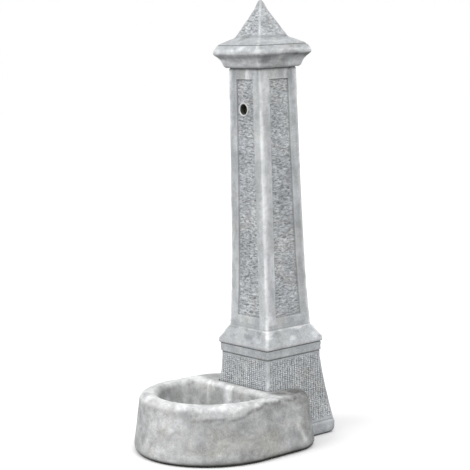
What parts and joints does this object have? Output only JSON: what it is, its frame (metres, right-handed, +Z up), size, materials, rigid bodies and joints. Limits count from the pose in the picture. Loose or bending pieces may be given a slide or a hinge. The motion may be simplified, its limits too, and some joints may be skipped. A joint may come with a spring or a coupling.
{
  "type": "drinking fountain",
  "caption": "Cast-stone garden drinking fountain: panelled square column on a flared pedestal, pyramid cap, tap outlet and round-fronted basin.",
  "frame": {"origin": "on the ground, in the middle of the whole footprint of pedestal and basin; the column's own axis is 155.9 mm behind it and 10 mm to its right", "axes": "+Z up the column, -Y towards the user and the round front of the basin, +X to the right of someone facing the basin"},
  "size_m": [0.458, 0.5702, 1.25],
  "materials": {
    "cast_stone": "weathered light-grey cast stone, tooled on the sunk panels",
    "mortar": "smooth pale cement mortar",
    "stainless_steel": "brushed stainless steel",
    "galvanised_steel": "dull hot-dip zinc",
    "brass": "tarnished cast brass",
    "chrome": "hard chrome plate",
    "ptfe": "natural white",
    "rubber": "black rubber",
    "red_plastic": "dipped red vinyl",
    "nylon": "grey nylon",
    "polyethylene": "black pipe"
  },
  "bodies": {
    "fountain": {"pedestal": "cast_stone", "column": "cast_stone", "cap": "cast_stone", "basin": "cast_stone", "column_mortar_bed": "mortar", "cap_mortar_bed": "mortar", "basin_mortar_joint": "mortar", "outlet_collar": "mortar", "column_dowel_left": "stainless_steel", "column_dowel_right": "stainless_steel", "cap_dowel": "stainless_steel", "supply_tail": "polyethylene", "riser_pipe": "galvanised_steel", "riser_spacer_lower": "rubber", "riser_spacer_upper": "rubber", "outlet_elbow": "brass", "outlet_socket": "brass", "valve_body": "brass", "valve_end": "brass", "valve_seat_upper": "ptfe", "valve_seat_lower": "ptfe", "valve_gland_nut": "brass", "drain_body": "brass", "drain_gasket": "rubber", "drain_washer": "rubber", "drain_backnut": "brass", "access_gasket": "rubber", "cover_plug_top_left": "nylon", "cover_plug_top_right": "nylon", "cover_plug_bottom_left": "nylon", "cover_plug_bottom_right": "nylon"},
    "valve_handle": {"valve_lever": "galvanised_steel", "valve_lever_nut": "galvanised_steel", "valve_lever_grip": "red_plastic", "valve_stem": "brass", "valve_ball": "chrome"},
    "strainer": {"drain_strainer": "stainless_steel"},
    "service_cover": {"access_cover": "stainless_steel", "cover_screw_top_left": "stainless_steel", "cover_screw_top_right": "stainless_steel", "cover_screw_bottom_left": "stainless_steel", "cover_screw_bottom_right": "stainless_steel"}
  },
  "joints": [
    {"name": "stop_valve_turn", "type": "hinge", "parent": "fountain", "child": "valve_handle", "pos_m": [0, 0.1599, 0.115], "axis": [0, 1, 0], "range_deg": [0, 90]},
    {"name": "strainer_lift", "type": "slide", "parent": "fountain", "child": "strainer", "axis": [0, 0, 1], "range_m": [0, 0.16]},
    {"name": "cover_removal", "type": "slide", "parent": "fountain", "child": "service_cover", "axis": [0, 0.9909, 0.1344], "range_m": [0, 0.1]}
  ]
}
